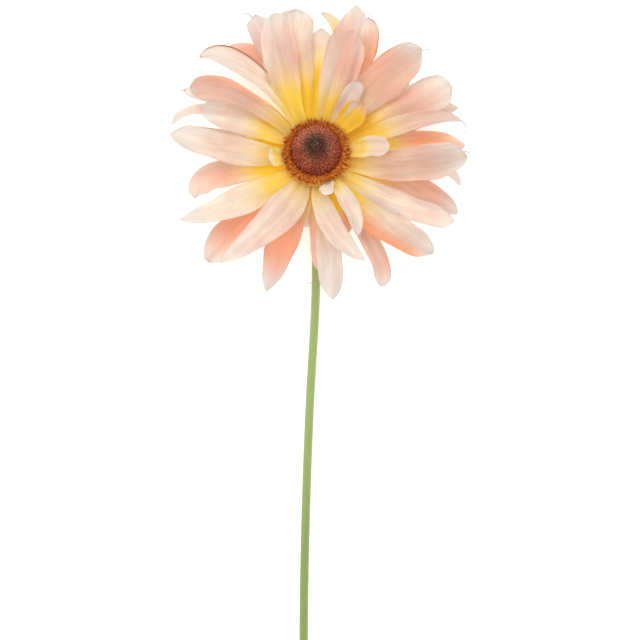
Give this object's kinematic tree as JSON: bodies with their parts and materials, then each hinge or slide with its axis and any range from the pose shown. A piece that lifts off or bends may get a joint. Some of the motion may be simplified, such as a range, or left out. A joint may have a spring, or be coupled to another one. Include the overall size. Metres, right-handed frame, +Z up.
{
  "type": "cut gerbera",
  "caption": "Cut gerbera lying face up: rows of peach petals round a red-brown disc, a green bract cup, a bent neck and a long bare stem.",
  "frame": {"origin": "on the table, under the middle of the whole flower's box", "axes": "+Y from the cut end of the stem to the flower head, +Z up from the table, +X to the right of the flower as seen from above"},
  "size_m": [0.126, 0.4148, 0.0474],
  "materials": {
    "petals_pale": "matte",
    "petals_peach": "matte",
    "petals_curled": "matte",
    "floret_fringe": "matte",
    "disc_florets": "matte",
    "bracts": "matte",
    "stem": "satin"
  },
  "bodies": {
    "root": {"petals_front": "petals_pale", "petals_back": "petals_peach", "petals_inner": "petals_curled", "floret_ring": "floret_fringe", "disc_florets": "disc_florets", "involucre": "bracts", "stem": "stem"}
  },
  "joints": []
}
